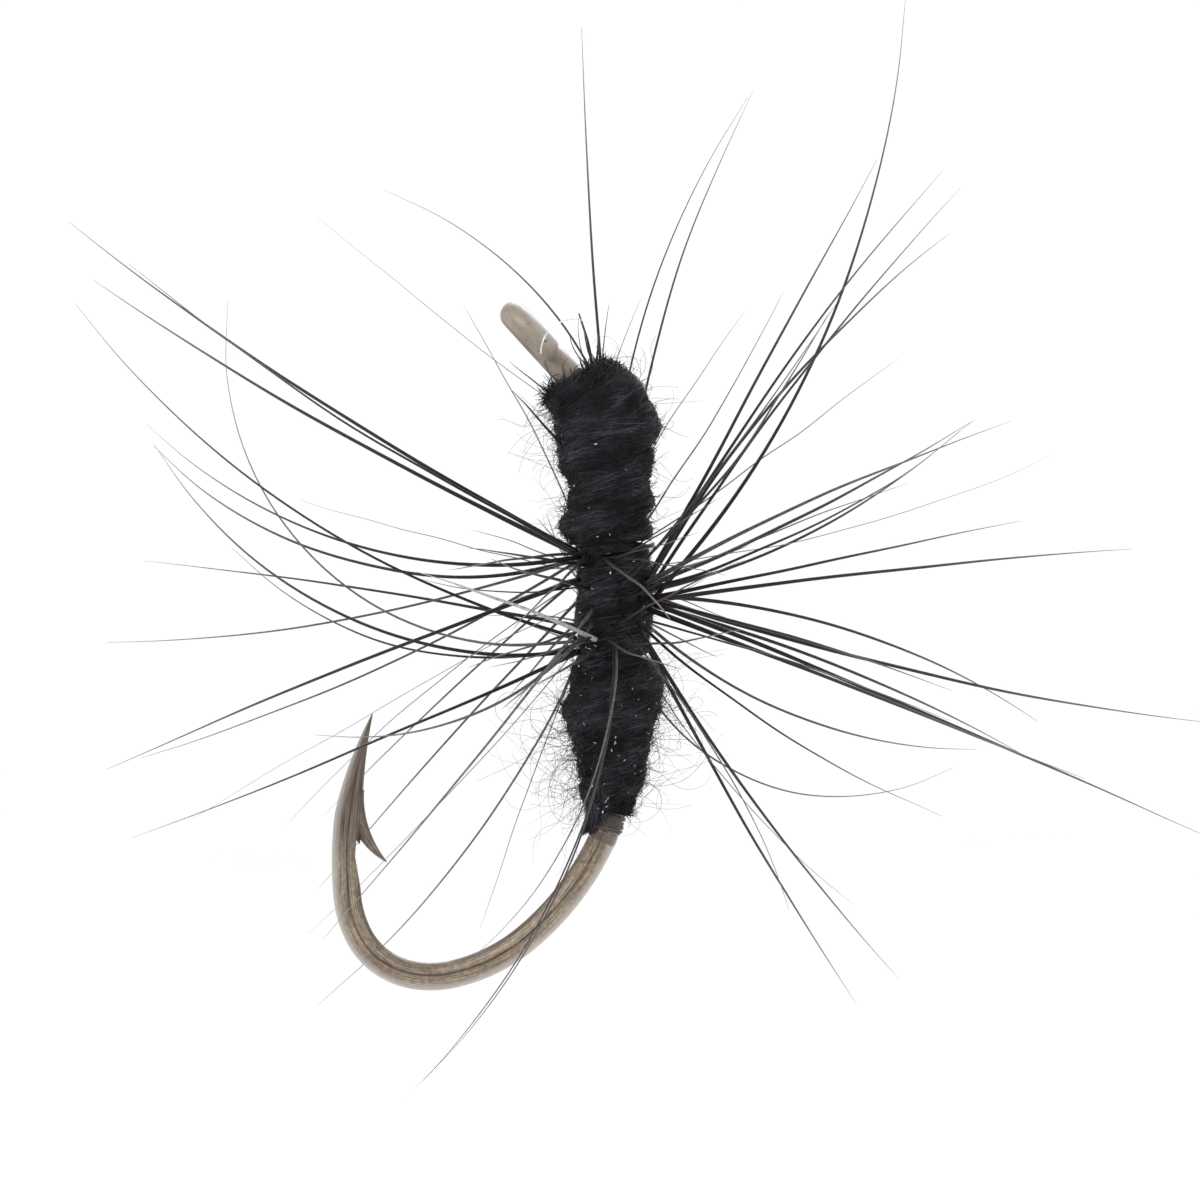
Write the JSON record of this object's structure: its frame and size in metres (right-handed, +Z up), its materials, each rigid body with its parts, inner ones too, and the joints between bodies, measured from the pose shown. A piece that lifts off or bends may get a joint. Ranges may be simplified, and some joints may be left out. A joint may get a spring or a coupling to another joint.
{
  "type": "dry fly",
  "caption": "Wingless dry fly on a turned-down-eye hook, with a wound black wool body and a long sparse hackle at its waist.",
  "frame": {"origin": "centre of the hole in the hook's eye", "axes": "The fly hangs from its eye as on a tippet: +Z up along the tippet, the hook lies in the XZ plane with its point toward -X and the back of the body toward +X, and -Y faces the viewer of its side"},
  "size_m": [0.0228, 0.0181, 0.0224],
  "materials": {
    "hook_wire": "bronzed, satin gloss",
    "tying_thread": "waxed thread",
    "wool": "fuzzy matt wool",
    "feather": "glossy hair-like fibre",
    "cement": "clear brown varnish"
  },
  "bodies": {
    "root": {"abdomen_wool": "wool", "hackle_fibre_01": "feather", "hackle_fibre_02": "feather", "hackle_fibre_03": "feather", "hackle_fibre_04": "feather", "hackle_fibre_05": "feather", "hackle_fibre_06": "feather", "hackle_fibre_07": "feather", "hackle_fibre_08": "feather", "hackle_fibre_09": "feather", "hackle_fibre_10": "feather", "hackle_fibre_11": "feather", "hackle_fibre_12": "feather", "hackle_fibre_13": "feather", "hackle_fibre_14": "feather", "hackle_fibre_15": "feather", "hackle_fibre_16": "feather", "hackle_fibre_17": "feather", "hackle_fibre_18": "feather", "hackle_fibre_19": "feather", "hackle_fibre_20": "feather", "hackle_fibre_21": "feather", "hackle_fibre_22": "feather", "hackle_fibre_23": "feather", "hackle_fibre_24": "feather", "hackle_fibre_25": "feather", "hackle_fibre_26": "feather", "hackle_fibre_27": "feather", "hackle_fibre_28": "feather", "hackle_fibre_29": "feather", "hackle_fibre_30": "feather", "hackle_fibre_31": "feather", "hackle_fibre_32": "feather", "hackle_fibre_33": "feather", "hackle_fibre_34": "feather", "hackle_fibre_35": "feather", "hackle_fibre_36": "feather", "hackle_fibre_37": "feather", "hackle_fibre_38": "feather", "hackle_fibre_39": "feather", "hackle_fibre_40": "feather", "hackle_fibre_41": "feather", "hackle_fibre_42": "feather", "hackle_fibre_43": "feather", "hackle_fibre_44": "feather", "hackle_fibre_45": "feather", "hackle_fibre_46": "feather", "hackle_fibre_47": "feather", "hackle_fibre_48": "feather", "hackle_fibre_49": "feather", "hackle_quill": "feather", "head_cement": "cement", "head_thread": "tying_thread", "hook": "hook_wire", "quill_butt": "feather", "tail_cement": "cement", "tail_thread": "tying_thread", "thorax_wool": "wool", "thread_base": "tying_thread", "waist_wool": "wool"}
  },
  "joints": []
}
